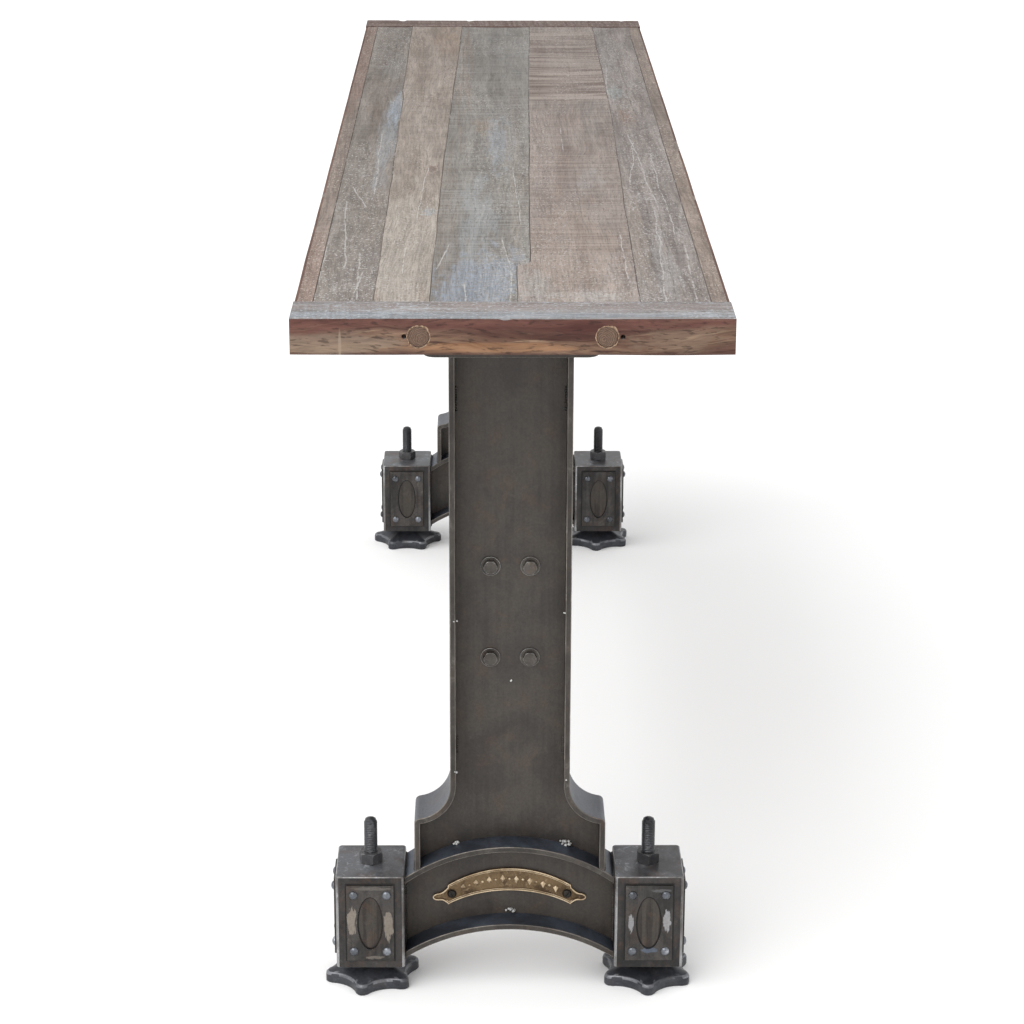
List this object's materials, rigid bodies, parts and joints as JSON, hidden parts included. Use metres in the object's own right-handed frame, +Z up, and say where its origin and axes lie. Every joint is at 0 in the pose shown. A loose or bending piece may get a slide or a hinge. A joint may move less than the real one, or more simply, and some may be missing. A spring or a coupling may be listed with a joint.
{
  "type": "sewing table",
  "caption": "Long narrow plank table on two riveted steel pedestals with arched feet, turned levelling feet, brass name plates and a bolted stretcher.",
  "frame": {"origin": "on the floor under the middle of the table", "axes": "+X along the table, +Y across it, +Z up"},
  "size_m": [1.778, 0.4064, 0.762],
  "materials": {
    "plank_1_wood": "worn, brown grey, scratched",
    "plank_2_wood": "worn, tan",
    "plank_3_wood": "worn, blue grey wash",
    "plank_4_wood": "worn, tan brown, saw marks",
    "plank_5_wood": "worn, grey brown, cracked",
    "rail_wood": "waxed, red brown",
    "end_board_wood": "waxed, red brown with a grey face",
    "plug_wood": "waxed",
    "batten_wood": "rough sawn",
    "leg_steel": "blackened, waxed, worn edges",
    "foot_steel": "blackened, worn edges",
    "panel_steel": "blackened, rubbed bright beside the window",
    "rivet_steel": "rubbed bright",
    "bolt_steel": "dull",
    "screw_steel": "dull",
    "stud_steel": "oiled, dark",
    "pad_iron": "blackened casting",
    "brass": "aged, rubbed on the raised rim"
  },
  "bodies": {
    "root": {"batten_left": "batten_wood", "batten_middle": "batten_wood", "batten_right": "batten_wood", "batten_screws": "screw_steel", "end_board_left": "end_board_wood", "end_board_right": "end_board_wood", "end_board_screws": "screw_steel", "end_plugs": "plug_wood", "left_arch_lower_flange": "leg_steel", "left_arch_upper_flange": "leg_steel", "left_arch_web": "leg_steel", "left_foot_box_back": "foot_steel", "left_foot_box_front": "foot_steel", "left_foot_panels": "panel_steel", "left_name_plate": "brass", "left_post_flange_back": "leg_steel", "left_post_flange_front": "leg_steel", "left_post_web": "leg_steel", "left_top_plate": "leg_steel", "name_plate_screws": "screw_steel", "panel_rivets": "rivet_steel", "plank_1": "plank_1_wood", "plank_2": "plank_2_wood", "plank_3": "plank_3_wood", "plank_4": "plank_4_wood", "plank_5": "plank_5_wood", "right_arch_lower_flange": "leg_steel", "right_arch_upper_flange": "leg_steel", "right_arch_web": "leg_steel", "right_foot_box_back": "foot_steel", "right_foot_box_front": "foot_steel", "right_foot_panels": "panel_steel", "right_name_plate": "brass", "right_post_flange_back": "leg_steel", "right_post_flange_front": "leg_steel", "right_post_web": "leg_steel", "right_top_plate": "leg_steel", "side_rail_back": "rail_wood", "side_rail_front": "rail_wood", "stretcher_beam": "leg_steel", "stretcher_bolts": "bolt_steel", "stretcher_end_plate_left": "leg_steel", "stretcher_end_plate_right": "leg_steel", "stretcher_nuts": "bolt_steel", "stretcher_washers": "bolt_steel", "top_plate_screws": "screw_steel"},
    "stud_right_front": {"leveller_stud_right_front": "stud_steel"},
    "pad_right_front": {"leveller_pad_right_front": "pad_iron"},
    "locknut_right_front": {"locknut_right_front": "stud_steel"},
    "stud_right_back": {"leveller_stud_right_back": "stud_steel"},
    "pad_right_back": {"leveller_pad_right_back": "pad_iron"},
    "locknut_right_back": {"locknut_right_back": "stud_steel"},
    "stud_left_front": {"leveller_stud_left_front": "stud_steel"},
    "pad_left_front": {"leveller_pad_left_front": "pad_iron"},
    "locknut_left_front": {"locknut_left_front": "stud_steel"},
    "stud_left_back": {"leveller_stud_left_back": "stud_steel"},
    "pad_left_back": {"leveller_pad_left_back": "pad_iron"},
    "locknut_left_back": {"locknut_left_back": "stud_steel"}
  },
  "joints": [
    {"name": "lift_right_front", "type": "slide", "parent": "root", "child": "stud_right_front", "axis": [0, 0, -1], "range_m": [0, 0.03]},
    {"name": "turn_right_front", "type": "hinge", "parent": "stud_right_front", "child": "pad_right_front", "pos_m": [0.7, -0.144, 0], "axis": [0, 0, -1], "range_deg": [0, 5400]},
    {"name": "locknut_turn_right_front", "type": "hinge", "parent": "root", "child": "locknut_right_front", "pos_m": [0.7, -0.144, 0.131], "axis": [0, 0, -1], "continuous": true},
    {"name": "lift_right_back", "type": "slide", "parent": "root", "child": "stud_right_back", "axis": [0, 0, -1], "range_m": [0, 0.03]},
    {"name": "turn_right_back", "type": "hinge", "parent": "stud_right_back", "child": "pad_right_back", "pos_m": [0.7, 0.144, 0], "axis": [0, 0, -1], "range_deg": [0, 5400]},
    {"name": "locknut_turn_right_back", "type": "hinge", "parent": "root", "child": "locknut_right_back", "pos_m": [0.7, 0.144, 0.131], "axis": [0, 0, -1], "continuous": true},
    {"name": "lift_left_front", "type": "slide", "parent": "root", "child": "stud_left_front", "axis": [0, 0, -1], "range_m": [0, 0.03]},
    {"name": "turn_left_front", "type": "hinge", "parent": "stud_left_front", "child": "pad_left_front", "pos_m": [-0.7, -0.144, 0], "axis": [0, 0, -1], "range_deg": [0, 5400]},
    {"name": "locknut_turn_left_front", "type": "hinge", "parent": "root", "child": "locknut_left_front", "pos_m": [-0.7, -0.144, 0.131], "axis": [0, 0, -1], "continuous": true},
    {"name": "lift_left_back", "type": "slide", "parent": "root", "child": "stud_left_back", "axis": [0, 0, -1], "range_m": [0, 0.03]},
    {"name": "turn_left_back", "type": "hinge", "parent": "stud_left_back", "child": "pad_left_back", "pos_m": [-0.7, 0.144, 0], "axis": [0, 0, -1], "range_deg": [0, 5400]},
    {"name": "locknut_turn_left_back", "type": "hinge", "parent": "root", "child": "locknut_left_back", "pos_m": [-0.7, 0.144, 0.131], "axis": [0, 0, -1], "continuous": true}
  ],
  "couplings": [
    {"joint": "lift_right_front", "follows": "turn_right_front", "m_per_rad": 0.00031831},
    {"joint": "lift_right_back", "follows": "turn_right_back", "m_per_rad": 0.00031831},
    {"joint": "lift_left_front", "follows": "turn_left_front", "m_per_rad": 0.00031831},
    {"joint": "lift_left_back", "follows": "turn_left_back", "m_per_rad": 0.00031831}
  ]
}
